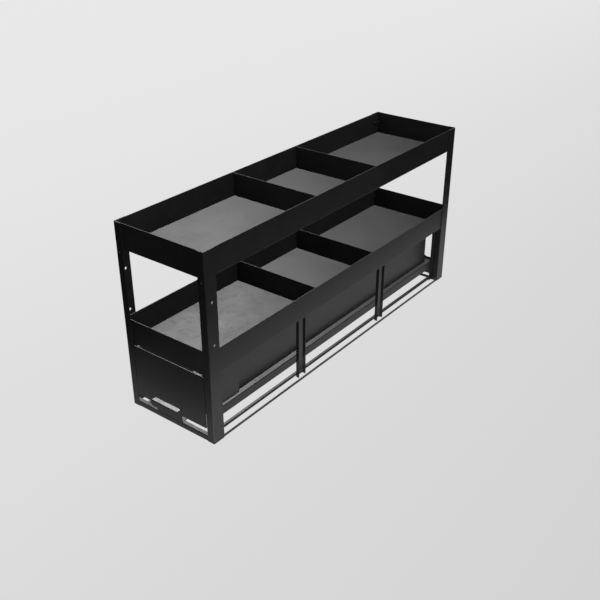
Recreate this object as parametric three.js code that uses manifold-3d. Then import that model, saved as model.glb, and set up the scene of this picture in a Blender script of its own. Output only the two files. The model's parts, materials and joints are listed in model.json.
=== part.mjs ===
// Van cabinet of folded sheet steel: two divided trays on four angle posts, above one long drawer
// that slides out at the left end on ledge runners.
// Millimetres, +Z up, X along the length, Y from the front to the rear.
// Pieces are drawn from the front left foot of the cabinet, and the exported group moves them so
// that its origin lies on the floor under the middle of the closed cabinet.
import * as THREE from "three";
import { mergeVertices } from "three/addons/utils/BufferGeometryUtils.js";
import Module from "manifold-3d";

const wasm = await Module();
wasm.setup();

// Overall sizes, and what all pieces share
const length = 1500;
const depth = 377.6;
const height = 686;
const sheet = 2;
const foldRadius = 1;
const fit = 0.3;
const overrun = 5;
const foldSteps = 4;
const roundSteps = 16;

// Corner posts
const postFaceLeg = 48.5;
const postEndLeg = 28.5;
const postHoleDiameter = 10;
const postHoleInset = 27;
const postHoleRise = 19.5;
const postHolePitch = 150;
const postHoleCount = 2;
const endHoleDiameter = 8;
const endHoleDrop = 9;

// Trays
const trayHeight = 91;
const lowerBayHeight = 252;
const trayCornerRadius = 2;

// Studs on the posts, and the cap nuts that hold the trays on them
const studDiameter = 6;
const studHoleDiameter = 7;
const studGrip = 5.5;
const nutSides = 6;
const nutAcrossFlats = 10;
const nutHexHeight = 5.5;
const nutHeight = 10;
const nutDomeDiameter = 9.5;
const nutBoreDepth = 6.5;
const nutFlangeDiameter = 13;
const nutFlangeHeight = 1.5;

// Tray dividers
const leftDividerPlace = 550;
const rightDividerPlace = 914;
const dividerDrop = 1.5;
const dividerSideFlange = 12;
const dividerBaseFlange = 18;
const dividerNotch = 5;

// Front and rear uprights under the middle tray
const uprightPlace = 470;
const uprightWidth = 40;
const uprightDepth = 14;
const uprightSetback = 17;
const uprightTabWidth = 28;
const uprightTabReach = 14;
const endUprightInset = 45;
const endUprightFlange = 20;
const endUprightLap = 23;

// Ledge runners
const runnerTop = 91.8;
const runnerFace = 31;
const runnerLedge = 44;
const runnerReturn = 10;
const runnerInset = 20;

// Members along the floor
const stripHeight = 9.5;
const floorRailSetback = 35.6;
const floorRailWidth = 13.5;
const floorRailHeight = 7;
const endRailHeight = 21;
const endRailDepth = 16;

// Frame that closes the right end of the drawer bay
const endFrameFlange = 20;
const stopBandTop = 103;
const ventBottom = 13;
const ventTop = 25;
const ventInset = 41;
const ventLand = 115;
const windowHead = 18;

// Drawer
const drawerTravel = 950;
const drawerSetback = 53.4;
const drawerEndClearance = 31;
const glideRise = 3;
const slideClearance = 0.7;
const frontThickness = 2.5;
const frontGap = 3;
const frontBottom = 49.5;
const frontHeadGap = 5;
const frontCornerRadius = 3;
const gripWidth = 115;
const gripOffset = 12.7;
const footDepth = 40;
const pullReach = 22;
const pullTop = 76;
const pullLip = 23;
const pullBack = 18;

// Corner brackets behind the drawer front
const bracketOffset = 10;
const bracketLength = 125;
const bracketGusset = 44;
const bracketGussetEnd = 16;
const bracketGussetNose = 15;

// Sliding pads, travel stops and end buffers
const glideLength = 60;
const glideInset = 10;
const glideGuide = 5;
const glideGuideDrop = 9;
const guideClearance = 0.5;
const padMargin = 1.6;
const mouthPadLength = 50;
const mouthPadSetback = 4;
const stopLength = 20;
const stopReach = 6.5;
const stopHeight = 8;
const capLength = 40;
const capInset = 2;
const capCheek = 3;
const capDepth = 18;
const capInnerCheek = 6;
const bufferMargin = 10;
const bufferHeight = 18;
const bufferNose = 3;

// Places that several pieces share
const midTrayRim = lowerBayHeight + trayHeight;
const upperTrayBottom = height - trayHeight;
const inside = sheet + fit;
const nutSeat = inside + inside;
const foldOuter = foldRadius + sheet;
const uprightBack = uprightSetback + uprightDepth;
const uprightHeight = lowerBayHeight - fit;
const runnerFront = uprightBack + fit;
const ledgeEdge = runnerFront + runnerLedge;
const framePlace = length - endUprightInset - sheet;
const runnerEnd = framePlace - fit;
const drawerFloor = runnerTop + glideRise;
const frontTop = lowerBayHeight - frontHeadGap;
const drawerRim = frontTop - sheet - fit;
const drawerStart = frontThickness + fit;
const drawerEnd = framePlace - drawerEndClearance;
const drawerWidth = depth - drawerSetback - drawerSetback;
const gripCentre = depth / 2 + gripOffset;
const studInset = postHoleInset;
const studEndInset = postEndLeg / 2;
const glideStart = drawerEnd - glideInset - glideLength;

// Materials
const finish = (color, roughness, metalness) =>
  new THREE.MeshStandardMaterial({ color, roughness, metalness });
const blackPaint = () => finish(0x17181a, 0.55, 0.3);
const blackZinc = () => finish(0x26272a, 0.4, 0.9);
const nylon = () => finish(0x26272a, 0.7, 0);
const rubber = () => finish(0x101011, 0.9, 0);

// A closed geometry as a solid that can be cut and joined
function solidOf(geometry) {
  geometry.deleteAttribute("normal");
  geometry.deleteAttribute("uv");
  const merged = mergeVertices(geometry);
  return new wasm.Manifold(
    new wasm.Mesh({
      numProp: 3,
      vertProperties: new Float32Array(merged.attributes.position.array),
      triVerts: new Uint32Array(merged.index.array),
    }),
  );
}

// A finished solid as a geometry to draw
function geometryOf(solid) {
  const mesh = solid.getMesh();
  const geometry = new THREE.BufferGeometry();
  geometry.setAttribute("position", new THREE.BufferAttribute(mesh.vertProperties, mesh.numProp));
  geometry.setIndex(new THREE.BufferAttribute(mesh.triVerts, 1));
  geometry.computeVertexNormals();
  return geometry;
}

// Axes of an outline's two directions and of its push, for each way that an outline is pushed
const axisX = new THREE.Vector3(1, 0, 0);
const axisY = new THREE.Vector3(0, 1, 0);
const axisZ = new THREE.Vector3(0, 0, 1);
const pushFrames = {
  x: new THREE.Matrix4().makeBasis(axisY, axisZ, axisX),
  y: new THREE.Matrix4().makeBasis(axisX, axisZ, axisY.clone().negate()),
  z: new THREE.Matrix4().makeBasis(axisX, axisY, axisZ),
};

// An outline pushed along an axis: drawn in (y, z) for x, in (x, z) for y and in (x, y) for z
function pushed(outline, axis, from, to) {
  const shape = Array.isArray(outline) ? new THREE.Shape(outline) : outline;
  const settings = { depth: to - from, bevelEnabled: false, curveSegments: foldSteps };
  const geometry = new THREE.ExtrudeGeometry(shape, settings);
  geometry.applyMatrix4(pushFrames[axis]);
  const start = axis === "y" ? to : from;
  const shift = { x: axisX, y: axisY, z: axisZ }[axis].clone().multiplyScalar(start);
  geometry.translate(shift.x, shift.y, shift.z);
  return solidOf(geometry);
}

// A rectangular block between two corners
function block(low, high) {
  const geometry = new THREE.BoxGeometry(high[0] - low[0], high[1] - low[1], high[2] - low[2]);
  geometry.translate((low[0] + high[0]) / 2, (low[1] + high[1]) / 2, (low[2] + high[2]) / 2);
  return solidOf(geometry);
}

// A round bar along an axis, through a point and between two places on that axis
function bar(axis, diameter, centre, from, to) {
  const geometry = new THREE.CylinderGeometry(diameter / 2, diameter / 2, to - from, roundSteps);
  if (axis === "x") geometry.rotateZ(Math.PI / 2);
  if (axis === "z") geometry.rotateX(Math.PI / 2);
  const middle = (from + to) / 2;
  const places = { x: [middle, ...centre], y: [centre[0], middle, centre[1]], z: [...centre, middle] };
  geometry.translate(...places[axis]);
  return solidOf(geometry);
}

function joined(solids) {
  return solids.reduce((sum, solid) => sum.add(solid));
}

function cut(solid, cutters) {
  return cutters.reduce((rest, cutter) => rest.subtract(cutter), solid);
}

// Outline of a sheet folded along the corners of its middle line
function folded(corners, thickness = sheet, insideRadius = foldRadius) {
  const points = corners.map(([u, v]) => new THREE.Vector2(u, v));
  const middleRadius = insideRadius + thickness / 2;
  const left = [];
  const right = [];
  const addPair = (origin, across) => {
    left.push(origin.clone().addScaledVector(across, thickness / 2));
    right.push(origin.clone().addScaledVector(across, -thickness / 2));
  };
  points.forEach((point, i) => {
    const before = i > 0 ? point.clone().sub(points[i - 1]).normalize() : null;
    const after = i < points.length - 1 ? points[i + 1].clone().sub(point).normalize() : null;
    if (!before || !after) {
      const along = before || after;
      addPair(point, new THREE.Vector2(-along.y, along.x));
      return;
    }
    const turn = Math.atan2(before.cross(after), before.dot(after));
    const side = Math.sign(turn);
    const setback = middleRadius * Math.tan(Math.abs(turn) / 2);
    const across = new THREE.Vector2(-before.y, before.x);
    const foldStart = point.clone().addScaledVector(before, -setback);
    const centre = foldStart.addScaledVector(across, side * middleRadius);
    for (let k = 0; k <= foldSteps; k += 1) {
      const normal = across.clone().rotateAround(new THREE.Vector2(), (turn * k) / foldSteps);
      addPair(centre.clone().addScaledVector(normal, -side * middleRadius), normal);
    }
  });
  return [...right, ...left.reverse()];
}

// Outline of a polygon with its corners rounded
function rounded(corners, radius) {
  const points = corners.map(([u, v]) => new THREE.Vector2(u, v));
  const shape = new THREE.Shape();
  points.forEach((point, i) => {
    const before = points[(i + points.length - 1) % points.length];
    const after = points[(i + 1) % points.length];
    const entry = point.clone().add(before.clone().sub(point).setLength(radius));
    const exit = point.clone().add(after.clone().sub(point).setLength(radius));
    if (i === 0) shape.moveTo(entry.x, entry.y);
    else shape.lineTo(entry.x, entry.y);
    shape.quadraticCurveTo(point.x, point.y, exit.x, exit.y);
  });
  shape.closePath();
  return shape;
}

function rectangle(low, high) {
  return [[low[0], low[1]], [high[0], low[1]], [high[0], high[1]], [low[0], high[1]]];
}

// Cross-section of a box with its two bottom edges rounded
function troughOutline(low, high, radius) {
  const shape = new THREE.Shape();
  shape.moveTo(low[0], high[1]);
  shape.lineTo(low[0], low[1] + radius);
  shape.absarc(low[0] + radius, low[1] + radius, radius, Math.PI, Math.PI * 1.5, false);
  shape.lineTo(high[0] - radius, low[1]);
  shape.absarc(high[0] - radius, low[1] + radius, radius, -Math.PI / 2, 0, false);
  shape.lineTo(high[0], high[1]);
  shape.closePath();
  return shape;
}

// An open pan: floor and four walls folded up from one sheet, with welded corners
function pan(panLength, panDepth, panHeight) {
  const footprint = rounded(rectangle([0, 0], [panLength, panDepth]), trayCornerRadius);
  const outer = pushed(troughOutline([0, 0], [panDepth, panHeight], foldOuter), "x", 0, panLength)
    .intersect(pushed(troughOutline([0, 0], [panLength, panHeight], foldOuter), "y", 0, panDepth))
    .intersect(pushed(footprint, "z", 0, panHeight));
  const open = panHeight + overrun;
  const farX = panLength - sheet;
  const farY = panDepth - sheet;
  const inner = pushed(troughOutline([sheet, sheet], [farY, open], foldRadius), "x", sheet, farX)
    .intersect(pushed(troughOutline([sheet, sheet], [farX, open], foldRadius), "y", sheet, farY));
  return outer.subtract(inner);
}

// An upright plate across the cabinet with flanges turned to +X along its edges, notched at the corners
function flangedPlate({ width, tall, sideFlange, baseFlange, topFlange, notch, topNotch }) {
  const middle = sheet / 2;
  const lap = foldOuter + overrun;
  const plateTop = topFlange > 0 ? tall - foldOuter : tall;
  const pieces = [block([0, foldOuter, foldOuter], [sheet, width - foldOuter, plateTop])];
  const flangeTop = topFlange > 0 ? tall - topNotch : tall;
  const nearSide = folded([[sideFlange, middle], [middle, middle], [middle, lap]]);
  const farSide = folded([[middle, width - lap], [middle, width - middle], [sideFlange, width - middle]]);
  pieces.push(pushed(nearSide, "z", notch, flangeTop));
  pieces.push(pushed(farSide, "z", notch, flangeTop));
  const base = folded([[middle, lap], [middle, middle], [baseFlange, middle]]);
  pieces.push(pushed(base, "y", notch, width - notch));
  if (topFlange > 0) {
    const top = folded([[topFlange, tall - middle], [middle, tall - middle], [middle, tall - lap]]);
    pieces.push(pushed(top, "y", topNotch, width - topNotch));
  }
  const corners = [];
  const addCorners = (size, low, high) => {
    corners.push(block([-overrun, -overrun, low], [sheet + overrun, size, high]));
    corners.push(block([-overrun, width - size, low], [sheet + overrun, width + overrun, high]));
  };
  addCorners(notch, -overrun, notch);
  if (topFlange > 0) addCorners(topNotch, tall - topNotch, tall + overrun);
  return cut(joined(pieces), corners);
}

// Corner post: a full height angle with its system holes and its inward studs
function postSolid() {
  const middle = sheet / 2;
  const section = folded([[postFaceLeg, middle], [middle, middle], [middle, postEndLeg]]);
  const angle = pushed(section, "z", 0, height);
  const studEnd = nutSeat + studGrip;
  const studs = [];
  for (const z of [midTrayRim - trayHeight / 2, height - trayHeight / 2]) {
    studs.push(bar("y", studDiameter, [studInset, z], middle, studEnd));
    studs.push(bar("x", studDiameter, [studEndInset, z], middle, studEnd));
  }
  const holes = [];
  for (let i = 0; i < postHoleCount; i += 1) {
    const z = midTrayRim + postHoleRise + i * postHolePitch;
    holes.push(bar("y", postHoleDiameter, [postHoleInset, z], -overrun, sheet + overrun));
  }
  const endHole = [studEndInset, upperTrayBottom - endHoleDrop];
  holes.push(bar("x", endHoleDiameter, endHole, -overrun, sheet + overrun));
  return joined([cut(angle, holes), ...studs]);
}

// Tray between the posts, with a hole for each stud
function traySolid() {
  const trayLength = length - inside - inside;
  const trayDepth = depth - inside - inside;
  const z = trayHeight / 2;
  const holes = [];
  for (const x of [studInset - inside, trayLength + inside - studInset]) {
    holes.push(bar("y", studHoleDiameter, [x, z], -overrun, trayDepth + overrun));
  }
  for (const y of [studEndInset - inside, trayDepth + inside - studEndInset]) {
    holes.push(bar("x", studHoleDiameter, [y, z], -overrun, trayLength + overrun));
  }
  return cut(pan(trayLength, trayDepth, trayHeight), holes);
}

// Cap nut with a flange, its seat at zero and its axis along Z
function nutSolid() {
  const corner = nutAcrossFlats / 2 / Math.cos(Math.PI / nutSides);
  const hexagon = new THREE.CylinderGeometry(corner, corner, nutHexHeight, nutSides);
  hexagon.rotateX(Math.PI / 2);
  hexagon.translate(0, 0, nutHexHeight / 2);
  const dome = new THREE.SphereGeometry(nutDomeDiameter / 2, roundSteps, roundSteps / 2);
  dome.rotateX(Math.PI / 2);
  dome.translate(0, 0, nutHeight - nutDomeDiameter / 2);
  const flange = bar("z", nutFlangeDiameter, [0, 0], 0, nutFlangeHeight);
  const bore = bar("z", studHoleDiameter, [0, 0], -overrun, nutBoreDepth);
  return cut(joined([solidOf(hexagon), solidOf(dome), flange]), [bore]);
}

function dividerSolid() {
  return flangedPlate({
    width: depth - nutSeat - nutSeat,
    tall: trayHeight - sheet - fit - dividerDrop,
    sideFlange: dividerSideFlange,
    baseFlange: dividerBaseFlange,
    topFlange: 0,
    notch: dividerNotch,
  });
}

// Channel upright, open to the front, with a tab at its head under the tray and one at its foot
function uprightSolid() {
  const middle = sheet / 2;
  const web = uprightDepth - middle;
  const farFlange = uprightWidth - middle;
  const section = folded([[middle, 0], [middle, web], [farFlange, web], [farFlange, 0]]);
  const channel = pushed(section, "z", 0, uprightHeight);
  const near = (uprightWidth - uprightTabWidth) / 2;
  const far = near + uprightTabWidth;
  const lap = foldOuter + overrun;
  const footReach = floorRailSetback - fit - uprightSetback;
  const notches = [-overrun, uprightHeight - foldOuter].map((z) =>
    block([near - sheet, web - sheet, z], [far + sheet, uprightDepth + sheet, z + foldOuter + overrun]),
  );
  const foot = folded([[web, lap], [web, middle], [footReach, middle]]);
  const headReach = uprightDepth + uprightTabReach;
  const headZ = uprightHeight - middle;
  const head = folded([[headReach, headZ], [web, headZ], [web, uprightHeight - lap]]);
  return joined([cut(channel, notches), pushed(foot, "x", near, far), pushed(head, "x", near, far)]);
}

// Left end upright: a Z section from behind the post's leg back to the runner, over the floor strip
function leftEndUprightSolid() {
  const middle = sheet / 2;
  const web = endUprightInset + middle;
  const front = inside + middle;
  const back = uprightBack - middle;
  const lapEnd = [endUprightInset - endUprightLap, front];
  const flangeEnd = [endUprightInset + sheet + endUprightFlange, back];
  const section = folded([lapEnd, [web, front], [web, back], flangeEnd]);
  const notchTop = stripHeight + fit;
  const notch = block([0, 0, -overrun], [postFaceLeg + overrun, inside + inside, notchTop]);
  return cut(pushed(section, "z", 0, uprightHeight), [notch]);
}

// Right end upright: an angle on the end frame that carries the runner
function rightEndUprightSolid() {
  const middle = sheet / 2;
  const web = framePlace - fit - middle;
  const back = uprightBack - middle;
  const legFront = uprightBack - endUprightFlange;
  const section = folded([[web, legFront], [web, back], [framePlace - endUprightFlange, back]]);
  return pushed(section, "z", 0, uprightHeight);
}

// Ledge runner: a face on the uprights, a ledge under the drawer and a stiffening return
function runnerSolid() {
  const middle = sheet / 2;
  const face = runnerFront + middle;
  const ledge = runnerTop - middle;
  const edge = ledgeEdge - middle;
  const corners = [
    [face, runnerTop - runnerFace],
    [face, ledge],
    [edge, ledge],
    [edge, runnerTop - runnerReturn],
  ];
  return pushed(folded(corners), "x", runnerInset, runnerEnd);
}

function floorStripSolid() {
  return block([inside, inside, 0], [length - inside, inside + sheet, stripHeight]);
}

// Floor rail: a shallow channel laid open side down
function floorRailSolid() {
  const middle = sheet / 2;
  const near = floorRailSetback + middle;
  const far = floorRailSetback + floorRailWidth - middle;
  const top = floorRailHeight - middle;
  const section = folded([[near, 0], [near, top], [far, top], [far, 0]]);
  return pushed(section, "x", endRailDepth + fit, runnerEnd);
}

// Left end rail: a channel whose face lies flush between the posts and whose flanges run on behind them
function leftEndRailSolid() {
  const middle = sheet / 2;
  const top = endRailHeight - middle;
  const section = folded([[endRailDepth, middle], [middle, middle], [middle, top], [endRailDepth, top]]);
  const near = inside + inside;
  const far = depth - near;
  const rail = pushed(section, "y", near, far);
  const legEdge = postEndLeg + fit;
  const recesses = [[near - overrun, legEdge], [depth - legEdge, far + overrun]].map(([from, to]) =>
    block([-overrun, from, -overrun], [foldOuter + fit, to, endRailHeight + overrun]),
  );
  return cut(rail, recesses);
}

// Right end frame: a flanged plate with a stop band, two vents below it and a window above
function rightEndFrameSolid() {
  const width = depth - inside - inside;
  const notch = stripHeight + fit;
  const plate = flangedPlate({
    width,
    tall: uprightHeight,
    sideFlange: endFrameFlange,
    baseFlange: endFrameFlange,
    topFlange: endFrameFlange,
    notch,
    topNotch: foldOuter + fit,
  });
  const near = ventInset - inside;
  const far = width - near;
  const landNear = (width - ventLand) / 2;
  const window = rectangle([near, stopBandTop], [far, uprightHeight - windowHead]);
  const frontVent = rectangle([near, ventBottom], [landNear, ventTop]);
  const rearVent = rectangle([width - landNear, ventBottom], [far, ventTop]);
  const cutters = [window, frontVent, rearVent].map((outline) =>
    pushed(rounded(outline, frontCornerRadius), "x", -overrun, sheet + overrun),
  );
  return cut(plate, cutters);
}

// Drawer front: a plate with a middle tongue whose foot turns in over the end rail
function drawerFrontSolid() {
  const near = postEndLeg + frontGap;
  const far = depth - near;
  const left = gripCentre - gripWidth / 2;
  const right = gripCentre + gripWidth / 2;
  const middle = frontThickness / 2;
  const footBottom = endRailHeight + fit;
  const foldTop = footBottom + frontThickness + foldRadius;
  const face = rounded(rectangle([near, frontBottom], [far, frontTop]), frontCornerRadius);
  const panel = pushed(face, "x", 0, frontThickness);
  const tongue = block([0, left, foldTop], [frontThickness, right, frontBottom + frontCornerRadius]);
  const footLine = footBottom + middle;
  const footCorners = [[middle, frontBottom], [middle, footLine], [footDepth, footLine]];
  const foot = pushed(folded(footCorners, frontThickness), "y", left, right);
  return joined([panel, tongue, foot]);
}

// Pull: a strip folded to an inverted channel on the front plate
function drawerPullSolid() {
  const middle = sheet / 2;
  const back = -fit - middle;
  const lip = middle - pullReach;
  const top = pullTop - middle;
  const section = folded([[back, pullTop - pullBack], [back, top], [lip, top], [lip, pullTop - pullLip]]);
  return pushed(section, "y", gripCentre - gripWidth / 2, gripCentre + gripWidth / 2);
}

function drawerPanSolid() {
  return pan(drawerEnd - drawerStart, drawerWidth, drawerRim - drawerFloor);
}

// Corner bracket: a side plate beside the pan with a tapered gusset over its rim
function drawerBracketSolid() {
  const middle = sheet / 2;
  const outer = drawerSetback - bracketOffset;
  const bottom = drawerFloor + foldRadius;
  const corners = [
    [drawerSetback - fit, bottom + middle],
    [outer + middle, bottom + middle],
    [outer + middle, frontTop - middle],
    [outer + bracketGusset, frontTop - middle],
  ];
  const end = drawerStart + bracketLength;
  const bracket = pushed(folded(corners), "x", drawerStart, end);
  const taper = [
    [drawerStart + bracketGussetNose, outer + bracketGusset + overrun],
    [drawerStart + bracketGussetNose, outer + bracketGusset],
    [end, outer + bracketGussetEnd],
    [end + overrun, outer + bracketGussetEnd],
    [end + overrun, outer + bracketGusset + overrun],
  ].map(([x, y]) => new THREE.Vector2(x, y));
  return cut(bracket, [pushed(taper, "z", drawerRim, frontTop + overrun)]);
}

// Rear glide: a pad under the pan with a guide along the ledge's return
function rearGlideSolid() {
  const bottom = runnerTop + fit;
  const top = drawerFloor - fit;
  const guideNear = ledgeEdge + guideClearance;
  const guideFar = guideNear + glideGuide;
  const outline = [
    [drawerSetback + padMargin, bottom],
    [guideNear, bottom],
    [guideNear, bottom - glideGuideDrop],
    [guideFar, bottom - glideGuideDrop],
    [guideFar, top],
    [drawerSetback + padMargin, top],
  ].map(([y, z]) => new THREE.Vector2(y, z));
  return pushed(outline, "x", glideStart, glideStart + glideLength);
}

// Mouth pad: a plate on the runner's left end that the drawer slides over, with sloped ends
function mouthPadSolid() {
  const start = runnerInset + mouthPadSetback;
  const end = start + mouthPadLength;
  const bottom = runnerTop + fit;
  const top = drawerFloor - fit;
  const slope = top - bottom;
  const outline = [
    [start, bottom],
    [end, bottom],
    [end - slope, top],
    [start + slope, top],
  ].map(([x, z]) => new THREE.Vector2(x, z));
  return pushed(outline, "y", drawerSetback + padMargin, ledgeEdge - padMargin);
}

// Travel stop: an angle on the ledge's return that the glide's guide meets when the drawer is out
function travelStopSolid() {
  const middle = sheet / 2;
  const face = glideStart - drawerTravel - fit;
  const legY = ledgeEdge + fit + middle;
  const section = folded([
    [face - stopLength, legY],
    [face - middle, legY],
    [face - middle, ledgeEdge + stopReach],
  ]);
  const top = runnerTop - foldOuter + middle;
  return pushed(section, "z", top - stopHeight, top);
}

// Rim cap: a block astride the pan's rim that runs under the middle tray and keeps the drawer from tipping
function rimCapSolid() {
  const top = lowerBayHeight - slideClearance;
  const wallNear = drawerSetback - fit;
  const wallFar = drawerSetback + sheet + fit;
  const outline = [
    [wallNear - capCheek, drawerRim - capDepth],
    [wallNear, drawerRim - capDepth],
    [wallNear, drawerRim + fit],
    [wallFar, drawerRim + fit],
    [wallFar, drawerRim - capDepth],
    [wallFar + capInnerCheek, drawerRim - capDepth],
    [wallFar + capInnerCheek, top],
    [wallNear - capCheek, top],
  ].map(([y, z]) => new THREE.Vector2(y, z));
  const end = drawerEnd - foldOuter - capInset;
  return pushed(outline, "x", end - capLength, end);
}

// End buffer: a block with a sloped nose on the runner's right end that the closed drawer meets
function endBufferSolid() {
  const bottom = runnerTop + fit;
  const outline = [
    [drawerEnd + fit + bufferNose, bottom],
    [runnerEnd, bottom],
    [runnerEnd, stopBandTop],
    [runnerEnd - bufferNose, bottom + bufferHeight],
    [drawerEnd + fit, bottom + bufferHeight],
    [drawerEnd + fit, bottom + bufferNose],
  ].map(([x, z]) => new THREE.Vector2(x, z));
  return pushed(outline, "y", drawerSetback + bufferMargin, ledgeEdge);
}

// The scene: fixed pieces and sliding pieces, both drawn from the front left foot
const cabinet = new THREE.Group();
const fixed = new THREE.Group();
const drawer = new THREE.Group();
const originShift = (length - pullReach) / 2;
for (const group of [fixed, drawer]) {
  group.position.set(-originShift, -depth / 2, 0);
  cabinet.add(group);
}

function place(group, name, solid, material, position = [0, 0, 0]) {
  const mesh = new THREE.Mesh(geometryOf(solid), material);
  mesh.name = name;
  mesh.position.set(...position);
  group.add(mesh);
  return mesh;
}

// Turns a piece drawn at the left or front into its mirror image at the right or rear
function mirror(mesh, toRight, toRear) {
  if (toRight) {
    mesh.position.x = length - mesh.position.x;
    mesh.scale.x = -1;
  }
  if (toRear) {
    mesh.position.y = depth - mesh.position.y;
    mesh.scale.y = -1;
  }
}

// A piece at the front and its mirror image at the rear
function frontAndRear(group, name, solid, material, position) {
  mirror(place(group, "front_" + name, solid, material, position), false, false);
  mirror(place(group, "rear_" + name, solid, material, position), false, true);
}

const post = postSolid();
for (const toRear of [false, true]) {
  for (const toRight of [false, true]) {
    const name = (toRear ? "rear_" : "front_") + (toRight ? "right" : "left") + "_post";
    mirror(place(fixed, name, post, blackPaint()), toRight, toRear);
  }
}

const trays = { mid: lowerBayHeight, upper: upperTrayBottom };
const tray = traySolid();
const divider = dividerSolid();
const nut = nutSolid();
for (const [level, bottom] of Object.entries(trays)) {
  place(fixed, level + "_tray", tray, blackPaint(), [inside, inside, bottom]);
  const base = bottom + sheet + fit;
  place(fixed, level + "_left_divider", divider, blackPaint(), [leftDividerPlace, nutSeat, base]);
  place(fixed, level + "_right_divider", divider, blackPaint(), [rightDividerPlace, nutSeat, base]);
  const studLevel = bottom + trayHeight / 2;
  for (const toRear of [false, true]) {
    for (const toRight of [false, true]) {
      const corner = level + "_" + (toRear ? "rear_" : "front_") + (toRight ? "right" : "left");
      const wallSeat = [studInset, nutSeat, studLevel];
      const wallNut = place(fixed, corner + "_wall_nut", nut, blackZinc(), wallSeat);
      wallNut.rotation.x = -Math.PI / 2;
      const endSeat = [nutSeat, studEndInset, studLevel];
      const endNut = place(fixed, corner + "_end_nut", nut, blackZinc(), endSeat);
      endNut.rotation.y = Math.PI / 2;
      if (toRight) {
        wallNut.position.x = length - wallNut.position.x;
        endNut.position.x = length - endNut.position.x;
        endNut.rotation.y = -Math.PI / 2;
      }
      if (toRear) {
        wallNut.position.y = depth - wallNut.position.y;
        wallNut.rotation.x = Math.PI / 2;
        endNut.position.y = depth - endNut.position.y;
      }
    }
  }
}

const upright = uprightSolid();
frontAndRear(fixed, "left_upright", upright, blackPaint(), [uprightPlace, uprightSetback, 0]);
const rightUprightPlace = length - uprightPlace - uprightWidth;
frontAndRear(fixed, "right_upright", upright, blackPaint(), [rightUprightPlace, uprightSetback, 0]);
frontAndRear(fixed, "left_end_upright", leftEndUprightSolid(), blackPaint());
frontAndRear(fixed, "right_end_upright", rightEndUprightSolid(), blackPaint());
frontAndRear(fixed, "runner", runnerSolid(), blackPaint());
frontAndRear(fixed, "floor_strip", floorStripSolid(), blackPaint());
frontAndRear(fixed, "floor_rail", floorRailSolid(), blackPaint());
place(fixed, "left_end_rail", leftEndRailSolid(), blackPaint());
place(fixed, "right_end_frame", rightEndFrameSolid(), blackPaint(), [framePlace, inside, 0]);
frontAndRear(fixed, "mouth_pad", mouthPadSolid(), nylon());
frontAndRear(fixed, "travel_stop", travelStopSolid(), blackPaint());
frontAndRear(fixed, "end_buffer", endBufferSolid(), rubber());

place(drawer, "drawer_pan", drawerPanSolid(), blackPaint(), [drawerStart, drawerSetback, drawerFloor]);
place(drawer, "drawer_front", drawerFrontSolid(), blackPaint());
place(drawer, "drawer_pull", drawerPullSolid(), blackPaint());
frontAndRear(drawer, "drawer_bracket", drawerBracketSolid(), blackPaint());
frontAndRear(drawer, "drawer_glide", rearGlideSolid(), nylon());
frontAndRear(drawer, "drawer_rim_cap", rimCapSolid(), nylon());

export default cabinet;
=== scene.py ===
"""Van cabinet of black powder-coated sheet steel, in metres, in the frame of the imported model."""
import json
import math

import bmesh
import bpy
from mathutils import Matrix, Vector


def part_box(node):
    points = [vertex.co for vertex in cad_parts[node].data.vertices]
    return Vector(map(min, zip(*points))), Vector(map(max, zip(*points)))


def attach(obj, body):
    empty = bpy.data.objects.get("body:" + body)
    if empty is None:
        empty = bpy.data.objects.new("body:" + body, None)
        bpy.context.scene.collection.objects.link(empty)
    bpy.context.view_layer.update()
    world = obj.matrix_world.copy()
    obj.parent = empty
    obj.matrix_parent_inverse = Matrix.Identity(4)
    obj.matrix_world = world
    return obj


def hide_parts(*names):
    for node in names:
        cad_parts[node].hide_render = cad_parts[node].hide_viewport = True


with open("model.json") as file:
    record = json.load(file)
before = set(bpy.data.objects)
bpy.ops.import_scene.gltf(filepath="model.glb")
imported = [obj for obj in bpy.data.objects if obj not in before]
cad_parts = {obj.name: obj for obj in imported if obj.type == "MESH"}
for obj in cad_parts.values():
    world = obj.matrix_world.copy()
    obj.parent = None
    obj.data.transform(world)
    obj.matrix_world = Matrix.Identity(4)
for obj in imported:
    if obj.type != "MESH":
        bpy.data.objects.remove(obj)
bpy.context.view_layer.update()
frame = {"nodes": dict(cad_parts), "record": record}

MM = 0.001

# Camera of the photograph
CAMERA_PLACE = (-2.27494, -1.71531, 1.7092)
CAMERA_AZIMUTH = -52.51175
CAMERA_ELEVATION = 28.70015
LENS = 50.16
SENSOR = 36.0
NEAREST_SEEN = 0.05
FARTHEST_SEEN = 200.0


def make_camera():
    data = bpy.data.cameras.new("camera")
    data.lens = LENS
    data.sensor_width = SENSOR
    data.clip_start = NEAREST_SEEN
    data.clip_end = FARTHEST_SEEN
    camera = bpy.data.objects.new("camera", data)
    camera.location = CAMERA_PLACE
    tilt = math.radians(90 - CAMERA_ELEVATION)
    camera.rotation_euler = (tilt, 0, math.radians(CAMERA_AZIMUTH))
    bpy.context.scene.collection.objects.link(camera)
    bpy.context.scene.camera = camera


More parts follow.
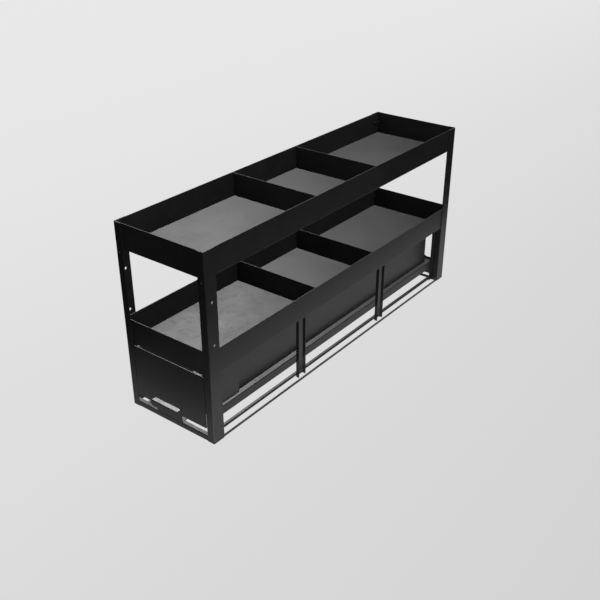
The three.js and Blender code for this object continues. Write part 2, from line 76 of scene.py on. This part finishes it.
class Shader:
    """A material's node tree, written one node at a time."""

    def __init__(self, name):
        self.material = bpy.data.materials.new(name)
        self.material.use_nodes = True
        self.tree = self.material.node_tree
        self.tree.nodes.clear()

    def add(self, kind, inputs=None, **settings):
        node = self.tree.nodes.new("ShaderNode" + kind)
        for key, value in settings.items():
            setattr(node, key, value)
        for key, value in (inputs or {}).items():
            socket = node.inputs[key]
            if isinstance(value, bpy.types.NodeSocket):
                self.tree.links.new(value, socket)
            else:
                socket.default_value = value
        return node

    def noise(self, coords, scale, detail, rough, distortion=0.0):
        inputs = {
            "Vector": coords,
            "Scale": scale,
            "Detail": detail,
            "Roughness": rough,
            "Distortion": distortion,
        }
        return self.add("TexNoise", inputs).outputs["Fac"]

    def spread(self, value, band, result=(0.0, 1.0)):
        """Takes a value from a band to a result, and keeps it inside the result."""
        inputs = {
            "Value": value,
            "From Min": band[0],
            "From Max": band[1],
            "To Min": result[0],
            "To Max": result[1],
        }
        return self.add("MapRange", inputs, clamp=True).outputs["Result"]

    def math(self, operation, first, second=0.0):
        return self.add("Math", {0: first, 1: second}, operation=operation).outputs[0]

    def mixed(self, share, first, second):
        node = self.add("Mix", data_type="RGBA")
        for key, value in (("Factor_Float", share), ("A_Color", first), ("B_Color", second)):
            socket = next(s for s in node.inputs if s.identifier == key)
            if isinstance(value, bpy.types.NodeSocket):
                self.tree.links.new(value, socket)
            else:
                socket.default_value = value
        return next(s for s in node.outputs if s.identifier == "Result_Color")

    def bump(self, strength, distance, height, normal):
        inputs = {"Strength": strength, "Distance": distance, "Height": height, "Normal": normal}
        return self.add("Bump", inputs).outputs["Normal"]

    def principled(self, colour, rough, normal, constants):
        inputs = {"Base Color": colour, "Roughness": rough, "Normal": normal, **constants}
        return self.surface(self.add("BsdfPrincipled", inputs).outputs["BSDF"])

    def glowing(self, strength):
        return self.surface(self.add("Emission", {"Strength": strength}).outputs[0])

    def surface(self, shader):
        output = self.add("OutputMaterial")
        self.tree.links.new(shader, output.inputs["Surface"])
        return self.material


def grey(value, tint=1.0):
    """A neutral colour with its blue raised by tint."""
    return (value, value * (1 + tint) / 2, value * tint, 1.0)


# Edges: how far their rounding reaches, and the dot product of the rounded and the flat normal
# where a place counts as flat and where as sharp
COAT_EDGE = 0.45 * MM
ZINC_EDGE = 0.4 * MM
MOULDED_EDGE = 0.6 * MM
EDGE_TURN = (0.995, 0.8)
EDGE_SAMPLES = 4

# Noise: scale, detail, roughness and, for the blotches, distortion. The scale of the moulded grain
# comes from the size of its grains
COAT_BLOTCH = (5.0, 5.0, 0.6, 0.4)
COAT_DUST = (38.0, 6.0, 0.7)
COAT_GRAIN = (900.0, 2.0, 0.5)
COAT_PEEL = (260.0, 2.0, 0.4)
COAT_WEAR_AND_HIGHLIGHT_NOISE = (60.0, 4.0, 0.6)
ZINC_CLOUD = (220.0, 4.0, 0.6)
ZINC_SCUFF = (900.0, 3.0, 0.6)
MOULDED_CLOUD = (90.0, 3.0, 0.5)
MOULDED_GRAIN = (3.0, 0.6)

# Bands of noise that a look changes over, and what it changes to
TONE_BAND = (0.35, 0.65)
ROUGH_BAND = (0.3, 0.7)
DUST_BAND = (0.52, 0.8)
DUST_SHARES = (0.0, 0.35)
DUST_ROUGH_BAND = (0.5, 0.8)
DUST_ROUGHNESS = (0.0, 0.08)
WEAR_AND_HIGHLIGHT_BAND = (0.45, 0.7)
WEAR_AND_HIGHLIGHT_SHARES = (0.15, 0.8)
ZINC_ROUGHNESS = (0.55, 0.68)
MOULDED_ROUGH_SWING = 0.06

# Colours. Those of moulded pieces are shares of the piece's own value
COAT_DEEP = grey(0.0125, 1.06)
COAT_PALE = grey(0.018, 1.05)
COAT_DUSTY = grey(0.05, 0.98)
# Paler colour of the edges: partly worn paint and partly a painted highlight along the rims
COAT_WORN_AND_HIGHLIGHT = grey(0.085, 1.0)
ZINC_OLIVE = (0.014, 0.015, 0.013, 1.0)
ZINC_GREY = (0.026, 0.026, 0.027, 1.0)
ZINC_RUBBED = (0.10, 0.10, 0.10, 1.0)
ZINC_RUB_SHARE = 0.25
MOULDED_DEEP = 0.8
MOULDED_PALE = 1.3
MOULDED_RUBBED = 3.0
MOULDED_TINT = 1.02
MOULDED_RUB_SHARE = 0.4

# Relief: strength and depth, and how much of the coat's relief is grain
COAT_RELIEF = (0.22, 0.06 * MM)
COAT_GRAIN_SHARE = 0.5
ZINC_RELIEF = (0.3, 0.03 * MM)
MOULDED_RELIEF = (0.4, 0.05 * MM)

COAT_IOR = 1.52
MOULDED_IOR = 1.5


def edge_mask(shader, radius):
    """Rounded normal near edges, and how much it departs from the flat face there."""
    rounded = shader.add("Bevel", {"Radius": radius}, samples=EDGE_SAMPLES).outputs["Normal"]
    flat = shader.add("NewGeometry").outputs["Normal"]
    dot = shader.add("VectorMath", {0: rounded, 1: flat}, operation="DOT_PRODUCT")
    return rounded, shader.spread(dot.outputs["Value"], EDGE_TURN)


def powder_coat(name, roughness):
    """Satin black powder coat: fine orange peel, soft blotches, dust, and thin paler edges that are
    partly wear and partly a painted highlight.
    """
    s = Shader(name)
    coords = s.add("TexCoord").outputs["Object"]
    rounded, edge = edge_mask(s, COAT_EDGE)
    blotch = s.noise(coords, *COAT_BLOTCH)
    dust = s.noise(coords, *COAT_DUST)
    grain = s.noise(coords, *COAT_GRAIN)
    peel = s.noise(coords, *COAT_PEEL)
    tone = s.mixed(s.spread(blotch, TONE_BAND), COAT_DEEP, COAT_PALE)
    dusty = s.mixed(s.spread(dust, DUST_BAND, DUST_SHARES), tone, COAT_DUSTY)
    wear_and_highlight_share = s.spread(s.noise(coords, *COAT_WEAR_AND_HIGHLIGHT_NOISE), WEAR_AND_HIGHLIGHT_BAND, WEAR_AND_HIGHLIGHT_SHARES)
    # Edges, broken up by noise, turn paler: partly wear and partly a painted highlight along the
    # rims
    colour = s.mixed(s.math("MULTIPLY", edge, wear_and_highlight_share), dusty, COAT_WORN_AND_HIGHLIGHT)
    clean_rough = s.spread(blotch, ROUGH_BAND, roughness)
    rough = s.math("ADD", clean_rough, s.spread(dust, DUST_ROUGH_BAND, DUST_ROUGHNESS))
    relief = s.math("ADD", peel, s.math("MULTIPLY", grain, COAT_GRAIN_SHARE))
    normal = s.bump(*COAT_RELIEF, relief, rounded)
    return s.principled(colour, rough, normal, {"Metallic": 0.0, "IOR": COAT_IOR})


def black_zinc():
    """Black zinc plate: a dark metal with an uneven olive cast and slightly paler corners."""
    s = Shader("black_zinc_plate")
    coords = s.add("TexCoord").outputs["Object"]
    rounded, edge = edge_mask(s, ZINC_EDGE)
    cloud = s.noise(coords, *ZINC_CLOUD)
    scuff = s.noise(coords, *ZINC_SCUFF)
    tone = s.mixed(s.spread(cloud, TONE_BAND), ZINC_OLIVE, ZINC_GREY)
    colour = s.mixed(s.math("MULTIPLY", edge, ZINC_RUB_SHARE), tone, ZINC_RUBBED)
    rough = s.spread(cloud, ROUGH_BAND, ZINC_ROUGHNESS)
    normal = s.bump(*ZINC_RELIEF, scuff, rounded)
    return s.principled(colour, rough, normal, {"Metallic": 1.0})


def moulded(name, value, roughness, grain_size):
    """Moulded nylon or rubber with a fine spark-eroded grain and paler rubbed edges."""
    s = Shader(name)
    coords = s.add("TexCoord").outputs["Object"]
    rounded, edge = edge_mask(s, MOULDED_EDGE)
    cloud = s.noise(coords, *MOULDED_CLOUD)
    grain = s.noise(coords, 1.0 / grain_size, *MOULDED_GRAIN)
    deep = grey(value * MOULDED_DEEP, MOULDED_TINT)
    pale = grey(value * MOULDED_PALE, MOULDED_TINT)
    tone = s.mixed(s.spread(cloud, TONE_BAND), deep, pale)
    rubbed = s.math("MULTIPLY", edge, MOULDED_RUB_SHARE)
    colour = s.mixed(rubbed, tone, grey(value * MOULDED_RUBBED))
    swing = (roughness - MOULDED_ROUGH_SWING, roughness + MOULDED_ROUGH_SWING)
    rough = s.spread(grain, ROUGH_BAND, swing)
    normal = s.bump(*MOULDED_RELIEF, grain, rounded)
    return s.principled(colour, rough, normal, {"IOR": MOULDED_IOR})


MATERIALS = {
    "black_paint": powder_coat("black_powder_coat", roughness=(0.40, 0.47)),
    "black_zinc": black_zinc(),
    "nylon": moulded("black_nylon", value=0.028, roughness=0.55, grain_size=0.5 * MM),
    "rubber": moulded("black_rubber", value=0.014, roughness=0.8, grain_size=0.8 * MM),
}
HAND_WORN_COAT = powder_coat("hand_worn_powder_coat", roughness=(0.315, 0.355))

# Ends of the names of the slim members that cast no soft shade, as in the photograph
UNSHADING_ENDINGS = ("left_upright", "right_upright")


def dress_nodes():
    """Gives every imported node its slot's material."""
    slots = {part["node"]: part["material_slot"] for part in frame["record"]["subparts"]}
    for name, node in frame["nodes"].items():
        node.data.materials.clear()
        node.data.materials.append(MATERIALS[slots[name]])
        if name.endswith(UNSHADING_ENDINGS):
            node.visible_diffuse = False
            node.visible_glossy = False


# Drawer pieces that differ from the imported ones, in millimetres and degrees
SHEET = 2.0
BEND = 1.0
BEND_PARTS = 5
EDGE_ROUND = 0.3
EDGE_ROUND_PARTS = 2
EDGE_ROUND_ANGLE = 40.0
PIECE_GAP = 0.3
LEDGE_CLEARANCE = 0.7
BRACKET_LENGTH = 170.0
BRACKET_PROUD = 2.8
BRACKET_FLANGES = {"front": 40.0, "rear": 12.0}
STRIP_THICKNESS = 1.5
STRIP_HEIGHT = 9.0
STRIP_FLAT = 3.0
STRIP_TOP = 0.4
STRIP_JOINT = 1.0
TRIM_CLEARANCE = 0.4
TRIM_WIDTH = 4.8
TRIM_LEG = 2.3
TRIM_LEG_LENGTH = 10.0
TRIM_HEIGHT = 5.6
TRIM_ARC_PARTS = 8
PULL_TURNED_BACK = 18.0
PULL_RAISED = 1.0
PULL_WIDER = 1.5


def folded_outline(path, thickness, bend):
    """Closed outline of a sheet that follows a path, with each corner bent round an arc."""
    sides = ([], [])
    middle = bend + thickness / 2
    for index, point in enumerate(path):
        here = Vector(point)
        before = (here - Vector(path[max(index - 1, 0)])).normalized()
        after = (Vector(path[min(index + 1, len(path) - 1)]) - here).normalized()
        if index in (0, len(path) - 1):
            across = (after if index == 0 else before).orthogonal()
            for side, sign in zip(sides, (1, -1)):
                side.append(here + across * sign * thickness / 2)
            continue
        turn = math.atan2(before.cross(after), before.dot(after))
        inside = math.copysign(1, turn)
        towards = before.orthogonal() * inside
        centre = here - before * middle * math.tan(abs(turn) / 2) + towards * middle
        for side, sign in zip(sides, (1, -1)):
            radius = middle - sign * inside * thickness / 2
            for step in range(BEND_PARTS + 1):
                swing = Matrix.Rotation(turn * step / BEND_PARTS, 2)
                side.append(centre - swing @ towards * radius)
    return sides[0] + sides[1][::-1]


def pushed_sheet(outline, start, end, placed):
    """Mesh of an outline pushed from start to end. Placed gives the point for (a, b, along)."""
    mesh = bmesh.new()
    near = [mesh.verts.new(placed(a, b, start)) for a, b in outline]
    far = [mesh.verts.new(placed(a, b, end)) for a, b in outline]
    mesh.faces.new(near)
    mesh.faces.new(far[::-1])
    for index in range(len(outline)):
        after = (index + 1) % len(outline)
        mesh.faces.new((near[index], far[index], far[after], near[after]))
    return mesh


def along_x(a, b, along):
    return (along, a, b)


def along_y(a, b, along):
    return (a, along, b)


def drawer_piece(name, mesh, material):
    """Turns a mesh in millimetres into a piece with rounded edges that rides on the drawer."""
    bmesh.ops.scale(mesh, vec=(MM, MM, MM), verts=mesh.verts)
    bmesh.ops.recalc_face_normals(mesh, faces=mesh.faces)
    data = bpy.data.meshes.new(name)
    mesh.to_mesh(data)
    mesh.free()
    piece = bpy.data.objects.new(name, data)
    bpy.context.scene.collection.objects.link(piece)
    data.materials.append(material)
    edge = piece.modifiers.new("rounded_edges", "BEVEL")
    edge.width = EDGE_ROUND * MM
    edge.segments = EDGE_ROUND_PARTS
    edge.limit_method = "ANGLE"
    edge.angle_limit = math.radians(EDGE_ROUND_ANGLE)
    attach(piece, "drawer")
    return piece


def box_in_mm(node):
    """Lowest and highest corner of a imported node."""
    return [[value / MM for value in corner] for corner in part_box(node)]


def make_drawer_bracket(side):
    """Corner bracket: a plate beside the pan, with its foot and its head turned in to the pan."""
    low, high = box_in_mm(f"{side}_drawer_bracket")
    pan_low, pan_high = box_in_mm("drawer_pan")
    front = side == "front"
    inward = 1 if front else -1
    outer = (low[1] if front else high[1]) - inward * BRACKET_PROUD
    wall = pan_low[1] if front else pan_high[1]
    plate = outer + inward * SHEET / 2
    foot = box_in_mm(f"{side}_runner")[1][2] + LEDGE_CLEARANCE + SHEET / 2
    head = high[2] - SHEET / 2
    path = [
        (wall - inward * PIECE_GAP, foot),
        (plate, foot),
        (plate, head),
        (outer + inward * BRACKET_FLANGES[side], head),
    ]
    outline = folded_outline(path, SHEET, BEND)
    mesh = pushed_sheet(outline, low[0], low[0] + BRACKET_LENGTH, along_x)
    name = f"{side}_drawer_bracket_plate"
    piece = drawer_piece(name, mesh, MATERIALS["black_paint"])
    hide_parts(f"{side}_drawer_bracket")


def make_foot_strip(side):
    """Strip along the foot of the drawer's side, just over the ledge, thinner towards its top."""
    pan_low, pan_high = box_in_mm("drawer_pan")
    inward = 1 if side == "front" else -1
    back = (pan_low[1] if side == "front" else pan_high[1]) - inward * PIECE_GAP
    face = back - inward * STRIP_THICKNESS
    foot = box_in_mm(f"{side}_runner")[1][2] + LEDGE_CLEARANCE
    top = foot + STRIP_HEIGHT
    outline = [
        (back, foot),
        (face, foot),
        (face, foot + STRIP_FLAT),
        (back - inward * STRIP_TOP, top),
        (back, top),
    ]
    start = box_in_mm(f"{side}_drawer_bracket")[0][0] + BRACKET_LENGTH + STRIP_JOINT
    mesh = pushed_sheet(outline, start, pan_high[0], along_x)
    drawer_piece(f"{side}_drawer_foot_strip", mesh, MATERIALS["black_paint"])


def make_gap_shade_trim():
    """Rubber trim over the pan's end wall: a dark piece that stands in for the shade in the gap
    over the drawer front.
    """
    low, high = box_in_mm("drawer_pan")
    near = box_in_mm("front_drawer_bracket")[0][1] - BRACKET_PROUD + BRACKET_FLANGES["front"]
    far = box_in_mm("rear_drawer_bracket")[1][1] + BRACKET_PROUD - BRACKET_FLANGES["rear"]
    start = near + TRIM_CLEARANCE
    end = min(far, high[1] - SHEET) - TRIM_CLEARANCE
    outer = low[0] - TRIM_CLEARANCE
    inner = outer + TRIM_WIDTH
    foot = high[2] + PIECE_GAP
    radius = TRIM_WIDTH / 2
    shoulder = high[2] + TRIM_HEIGHT - radius
    outline = [
        (outer, foot),
        (inner - TRIM_LEG, foot),
        (inner - TRIM_LEG, foot - TRIM_LEG_LENGTH),
        (inner, foot - TRIM_LEG_LENGTH),
    ]
    centre = inner - radius
    for step in range(TRIM_ARC_PARTS + 1):
        angle = math.pi * step / TRIM_ARC_PARTS
        outline.append((centre + radius * math.cos(angle), shoulder + radius * math.sin(angle)))
    mesh = pushed_sheet(outline, start, end, along_y)
    drawer_piece("drawer_mouth_shade_trim", mesh, MATERIALS["rubber"])


def make_pull():
    """Pull: a strip folded to an inverted channel, with its coat rubbed smooth by hands."""
    low, high = box_in_mm("drawer_pull")
    back, lip = high[0] - SHEET / 2, low[0] + SHEET / 2
    top = high[2] + PULL_RAISED - SHEET / 2
    path = [(back, high[2] - PULL_TURNED_BACK), (back, top), (lip, top), (lip, low[2])]
    outline = folded_outline(path, SHEET, BEND)
    mesh = pushed_sheet(outline, low[1] - PULL_WIDER, high[1] + PULL_WIDER, along_y)
    piece = drawer_piece("drawer_pull_lip", mesh, HAND_WORN_COAT)
    piece.visible_diffuse = False
    piece.visible_glossy = False
    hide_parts("drawer_pull")


def make_drawer_pieces():
    for side in ("front", "rear"):
        make_drawer_bracket(side)
        make_foot_strip(side)
    make_gap_shade_trim()
    make_pull()


# Stage: a pale floor that rises to a backdrop far away, seen by the camera alone. Its tone goes
# from dark in front to pale behind, and is half way at the middle
FLOOR_DROP = 0.0005
FLOOR_REACH = 24.0
BACKDROP_BEND = 6.0
BACKDROP_HEIGHT = 20.0
BACKDROP_SIDES = 72
BACKDROP_BEND_PARTS = 10
FLOOR_TONE = 0.654
FLOOR_TONE_SWING = 0.158
FLOOR_TONE_MIDDLE = -1.34
FLOOR_TONE_SPREAD = 3.03


def backdrop_profile():
    """Points from the floor's rim up the backdrop: distance from the middle, and height."""
    points = [(FLOOR_REACH, 0.0)]
    for step in range(1, BACKDROP_BEND_PARTS + 1):
        turn = math.radians(90) * step / BACKDROP_BEND_PARTS
        away = FLOOR_REACH + BACKDROP_BEND * math.sin(turn)
        points.append((away, BACKDROP_BEND * (1 - math.cos(turn))))
    points.append((FLOOR_REACH + BACKDROP_BEND, BACKDROP_HEIGHT))
    return points


def make_floor():
    """The floor and its backdrop, which give off their own tone and light nothing."""
    mesh = bmesh.new()
    rings = []
    for away, rise in backdrop_profile():
        ring = []
        for side in range(BACKDROP_SIDES):
            turn = math.tau * side / BACKDROP_SIDES
            ring.append(mesh.verts.new((away * math.cos(turn), away * math.sin(turn), rise)))
        rings.append(ring)
    mesh.faces.new(rings[0])
    for low, high in zip(rings, rings[1:]):
        for side in range(BACKDROP_SIDES):
            after = (side + 1) % BACKDROP_SIDES
            face = mesh.faces.new((low[side], low[after], high[after], high[side]))
            face.smooth = True
    data = bpy.data.meshes.new("floor")
    mesh.to_mesh(data)
    mesh.free()
    floor = bpy.data.objects.new("floor", data)
    floor.location.z = -FLOOR_DROP
    floor.visible_diffuse = False
    floor.visible_glossy = False
    floor.visible_transmission = False
    floor.visible_shadow = False
    bpy.context.scene.collection.objects.link(floor)
    s = Shader("pale_floor")
    place = s.add("SeparateXYZ", {"Vector": s.add("TexCoord").outputs["Object"]})
    behind = s.math("SUBTRACT", place.outputs["Y"], FLOOR_TONE_MIDDLE)
    step = s.math("TANH", s.math("DIVIDE", behind, FLOOR_TONE_SPREAD))
    tone = s.math("ADD", s.math("MULTIPLY", step, FLOOR_TONE_SWING), FLOOR_TONE)
    data.materials.append(s.glowing(tone))


# Suns: name, azimuth from +Y towards +X and elevation of their place, and width of their disc, in
# degrees, and strength. The fill stands just under the horizon, so it reaches no floor of a tray
SUNS = (
    ("back_key", 44.0, 39.0, 3.0, 0.94),
    ("front_fill", 185.0, -3.0, 3.0, 0.48),
)

# Sky: its strength, and how far up it fades in from the horizon
SKY_STRENGTH = 0.30
SKY_SOFT_EDGE = 0.08
WHITE = (1.0, 1.0, 1.0, 1.0)

# Glow of the pale floor: how far its cards reach out round the cabinet, and how bright they are
NEAR_GLOW = 0.12
FAR_GLOW = 0.30
BACK_GLOW = 0.50
SIDE_GLOW = 0.70
FRONT_NEAR_RADIANCE = 0.64
FRONT_FAR_RADIANCE = 0.82
LEFT_NEAR_RADIANCE = 0.455
LEFT_FAR_RADIANCE = 0.07
CORNER_RADIANCE = 1.75
BACK_RADIANCE = 0.80
UNDER_RADIANCE = 0.45


def make_sun(name, azimuth, elevation, disc, strength):
    """A far light without shadows, which reaches every face turned to it, as in the photograph."""
    data = bpy.data.lights.new(name, "SUN")
    data.energy = strength
    data.angle = math.radians(disc)
    data.use_shadow = False
    data.cycles.use_multiple_importance_sampling = False
    sun = bpy.data.objects.new(name, data)
    turn, rise = math.radians(azimuth), math.radians(elevation)
    level = math.cos(rise)
    source = Vector((level * math.sin(turn), level * math.cos(turn), math.sin(rise)))
    sun.rotation_euler = source.to_track_quat("Z", "Y").to_euler()
    bpy.context.scene.collection.objects.link(sun)


def make_glow(name, low, high, radiance):
    """A card on the floor that gives light from both faces, but that the camera doesn't see."""
    data = bpy.data.meshes.new(name)
    (left, front), (right, rear) = low, high
    corners = [(left, front, 0), (right, front, 0), (right, rear, 0), (left, rear, 0)]
    data.from_pydata(corners, [], [(0, 1, 2, 3)])
    card = bpy.data.objects.new(name, data)
    card.location.z = -FLOOR_DROP
    card.visible_camera = False
    card.visible_shadow = False
    bpy.context.scene.collection.objects.link(card)
    s = Shader(name)
    s.material.cycles.emission_sampling = "NONE"
    data.materials.append(s.glowing(radiance))


def make_light_set():
    """The suns, and the glow cards round and under the cabinet."""
    for sun in SUNS:
        make_sun(*sun)
    left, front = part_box("front_left_post")[0][:2]
    right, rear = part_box("rear_right_post")[1][:2]
    near, far = front - NEAR_GLOW, front - FAR_GLOW
    beside, aside = left - NEAR_GLOW, left - FAR_GLOW
    past, behind = right + SIDE_GLOW, rear + FAR_GLOW
    back_right, back_rear = right + BACK_GLOW, rear + BACK_GLOW
    make_glow("front_near_glow", (left, near), (past, front), FRONT_NEAR_RADIANCE)
    make_glow("front_far_glow", (left, far), (past, near), FRONT_FAR_RADIANCE)
    make_glow("left_near_glow", (beside, front), (left, behind), LEFT_NEAR_RADIANCE)
    make_glow("left_far_glow", (aside, front), (beside, behind), LEFT_FAR_RADIANCE)
    make_glow("corner_glow", (aside, far), (left, front), CORNER_RADIANCE)
    make_glow("back_glow", (left, rear), (back_right, back_rear), BACK_RADIANCE)
    make_glow("right_glow", (right, front), (back_right, rear), BACK_RADIANCE)
    make_glow("under_glow", (left, front), (right, rear), UNDER_RADIANCE)


def make_sky():
    """An even, weak sky over the horizon, which shows in the gloss of every side."""
    world = bpy.data.worlds.new("studio")
    world.use_nodes = True
    tree = world.node_tree
    sky = tree.nodes["Background"]
    place = tree.nodes.new("ShaderNodeTexCoord")
    parts = tree.nodes.new("ShaderNodeSeparateXYZ")
    fade = tree.nodes.new("ShaderNodeMapRange")
    fade.inputs["From Max"].default_value = SKY_SOFT_EDGE
    fade.inputs["To Max"].default_value = SKY_STRENGTH
    tree.links.new(place.outputs["Generated"], parts.inputs[0])
    tree.links.new(parts.outputs["Z"], fade.inputs["Value"])
    tree.links.new(fade.outputs["Result"], sky.inputs["Strength"])
    sky.inputs["Color"].default_value = WHITE
    world.cycles.sampling_method = "NONE"
    bpy.context.scene.world = world


def set_tones():
    """Shows light as it is, without a film look."""
    view = bpy.context.scene.view_settings
    view.view_transform = "Standard"
    view.look = "None"
    view.exposure = 0.0
    view.gamma = 1.0


make_camera()
dress_nodes()
make_drawer_pieces()
make_floor()
make_light_set()
make_sky()
set_tones()
